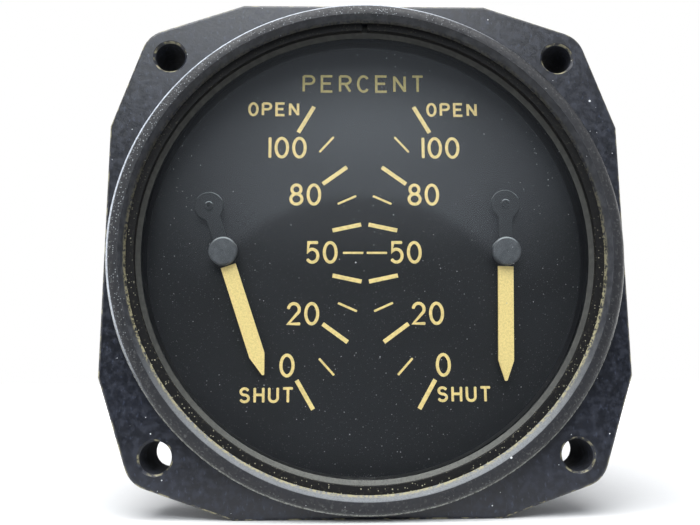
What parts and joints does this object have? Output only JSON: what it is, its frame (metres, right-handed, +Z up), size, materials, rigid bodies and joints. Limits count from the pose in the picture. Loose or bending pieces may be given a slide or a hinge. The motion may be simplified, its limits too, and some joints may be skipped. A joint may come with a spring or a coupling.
{
  "type": "cowl flap position indicator",
  "caption": "Panel instrument with a round glazed dial in a square-cornered flange, twin pointers on percent scales, and a receptacle on the back.",
  "frame": {"origin": "centre of the mounting flange's front face, on the case axis", "axes": "+X to the right of the dial, +Z up, +Y into the panel, so the dial faces -Y"},
  "size_m": [0.081, 0.0714, 0.081],
  "materials": {
    "case_phenolic": "blue-black moulded phenolic, satin, dusty and worn on its edges",
    "ring_black": "black finish, dusty",
    "gasket_rubber": "smooth olive-grey rubber",
    "glass_clear": "clear, with a soft grey reflection",
    "spacer_black": "matt black paint",
    "dial_black": "matt black paint with cream markings",
    "plate_aluminium": "plain sheet, lightly brushed",
    "connector_alloy": "dull grey-olive plating",
    "insert_phenolic": "dark brown moulding",
    "contact_silver": "silver plate, slightly dulled",
    "screw_steel": "plated, slightly dulled",
    "post_brass": "turned",
    "can_steel": "annealed grey",
    "cup_copper": "turned copper",
    "core_steel": "stacked laminations",
    "winding_copper": "enamelled wire, varnished",
    "bush_bronze": "turned",
    "lead_sleeve": "varnished woven sleeve",
    "pointer_paint": "cream paint on the blade, matt black on the tail",
    "hub_black": "matt black paint",
    "shaft_steel": "ground",
    "magnet_alloy": "cast magnet alloy"
  },
  "bodies": {
    "case_body": {"case": "case_phenolic", "snap_ring": "ring_black", "glass_gasket": "gasket_rubber", "cover_glass": "glass_clear", "spacer_ring": "spacer_black", "dial": "dial_black", "front_plate": "plate_aluminium", "bearing_plate": "plate_aluminium", "connector_shell": "connector_alloy", "connector_insert": "insert_phenolic", "contact_pins": "contact_silver", "chassis_screws": "screw_steel", "connector_screws": "screw_steel", "front_post_1": "post_brass", "rear_post_1": "post_brass", "front_post_2": "post_brass", "rear_post_2": "post_brass", "front_post_3": "post_brass", "rear_post_3": "post_brass", "front_post_4": "post_brass", "rear_post_4": "post_brass", "shield_can_left": "can_steel", "damping_cup_left": "cup_copper", "stator_core_left": "core_steel", "stator_winding_left": "winding_copper", "front_bush_left": "bush_bronze", "rear_bush_left": "bush_bronze", "lead_left": "lead_sleeve", "shield_can_right": "can_steel", "damping_cup_right": "cup_copper", "stator_core_right": "core_steel", "stator_winding_right": "winding_copper", "front_bush_right": "bush_bronze", "rear_bush_right": "bush_bronze", "lead_right": "lead_sleeve"},
    "left_movement": {"pointer_left": "pointer_paint", "pointer_hub_left": "hub_black", "counterweight_left": "hub_black", "balance_rivet_left": "hub_black", "rotor_shaft_left": "shaft_steel", "rotor_magnet_left": "magnet_alloy"},
    "right_movement": {"pointer_right": "pointer_paint", "pointer_hub_right": "hub_black", "counterweight_right": "hub_black", "balance_rivet_right": "hub_black", "rotor_shaft_right": "shaft_steel", "rotor_magnet_right": "magnet_alloy"}
  },
  "joints": [
    {"name": "left_pointer_turn", "type": "hinge", "parent": "case_body", "child": "left_movement", "pos_m": [-0.02258, 0, 0], "axis": [0, -1, 0], "range_deg": [-33.7, 176.3]},
    {"name": "right_pointer_turn", "type": "hinge", "parent": "case_body", "child": "right_movement", "pos_m": [0.02258, 0, 0], "axis": [0, 1, 0], "range_deg": [-17, 193]}
  ]
}
